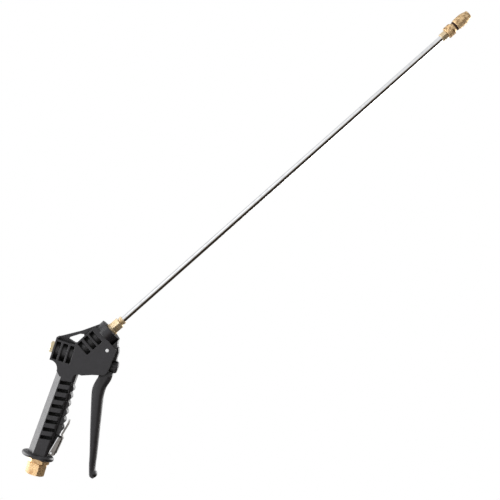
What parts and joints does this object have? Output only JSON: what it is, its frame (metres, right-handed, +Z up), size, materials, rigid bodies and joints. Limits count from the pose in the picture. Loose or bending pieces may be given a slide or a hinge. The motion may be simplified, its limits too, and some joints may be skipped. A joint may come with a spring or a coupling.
{
  "type": "hand-held spray gun with lance",
  "caption": "Trigger spray gun with moulded handle, valve, swivel hose inlet, trigger lock, flow screw, straight steel lance and adjustable brass nozzle.",
  "frame": {"origin": "centre of the swivel nut's mouth, where the hose screws on", "axes": "+X towards the nozzle's side, +Y across the gun, +Z up; the side view lies in the XZ plane and the lance rises at 41.5 degrees to +X"},
  "size_m": [0.62, 0.0356, 0.6439],
  "materials": {
    "nylon": "satin moulded, glass-filled nylon",
    "brass": "machined, lightly polished",
    "lance_steel": "drawn stainless",
    "bright_steel": "bright zinc plated",
    "rubber": "matte"
  },
  "bodies": {
    "handle": {"body": "nylon", "rear_cap": "brass", "cap_washer": "rubber", "valve_spring": "lance_steel", "valve_seat": "brass", "seat_o_ring": "rubber", "stem_guide": "brass", "stem_o_ring": "rubber", "trigger_pin": "bright_steel", "lock_pin": "bright_steel", "inlet_fitting": "brass", "inlet_o_ring": "rubber", "swivel_clip": "lance_steel", "outlet_fitting": "brass", "outlet_o_ring": "rubber", "lance_nut": "brass", "lance_olive": "brass", "lance_tube": "lance_steel", "lance_end": "brass", "nozzle_body": "brass", "nozzle_core": "brass", "nozzle_o_ring": "rubber"},
    "stem": {"valve_stem": "lance_steel", "valve_poppet": "brass", "poppet_seal": "rubber"},
    "trigger": {"trigger": "nylon"},
    "flow_screw": {"flow_screw": "lance_steel"},
    "flow_knob": {"flow_knob": "nylon"},
    "lock": {"trigger_lock": "bright_steel"},
    "swivel": {"swivel_nut": "brass", "hose_washer": "rubber"},
    "spray_disc": {"spray_disc": "lance_steel"},
    "nozzle_cap": {"nozzle_cap": "brass"}
  },
  "joints": [
    {"name": "trigger_squeeze", "type": "hinge", "parent": "handle", "child": "trigger", "pos_m": [0.10231, 0, 0.17134], "axis": [0, 1, 0], "range_deg": [0, 12], "stiffness_Nm_per_rad": 1.2, "springref_deg": -11.46},
    {"name": "valve_stroke", "type": "slide", "parent": "handle", "child": "stem", "axis": [-0.9511, 0, 0.309], "range_m": [0, 0.0043], "deforming": ["valve_spring"]},
    {"name": "screw_advance", "type": "slide", "parent": "trigger", "child": "flow_screw", "axis": [0.9511, 0, -0.309], "range_m": [0, 0.0012]},
    {"name": "knob_turn", "type": "hinge", "parent": "flow_screw", "child": "flow_knob", "pos_m": [0.10824, 0, 0.14849], "axis": [0.9511, 0, -0.309], "range_deg": [0, 541]},
    {"name": "lock_swing", "type": "hinge", "parent": "handle", "child": "lock", "pos_m": [0.02429, 0, 0.03011], "axis": [0, 1, 0], "range_deg": [0, 20]},
    {"name": "swivel_turn", "type": "hinge", "parent": "handle", "child": "swivel", "pos_m": [0, 0, 0], "axis": [0.2924, 0, 0.9563], "continuous": true},
    {"name": "disc_advance", "type": "slide", "parent": "handle", "child": "spray_disc", "axis": [0.749, 0, 0.6626], "range_m": [0, 0.002]},
    {"name": "cap_turn", "type": "hinge", "parent": "spray_disc", "child": "nozzle_cap", "pos_m": [0.59933, 0, 0.63452], "axis": [0.749, 0, 0.6626], "range_deg": [0, 721]}
  ],
  "couplings": [
    {"joint": "valve_stroke", "follows": "trigger_squeeze", "m_per_rad": 0.0199},
    {"joint": "knob_turn", "follows": "screw_advance", "rad_per_m": 7854},
    {"joint": "cap_turn", "follows": "disc_advance", "rad_per_m": 6283.2}
  ]
}
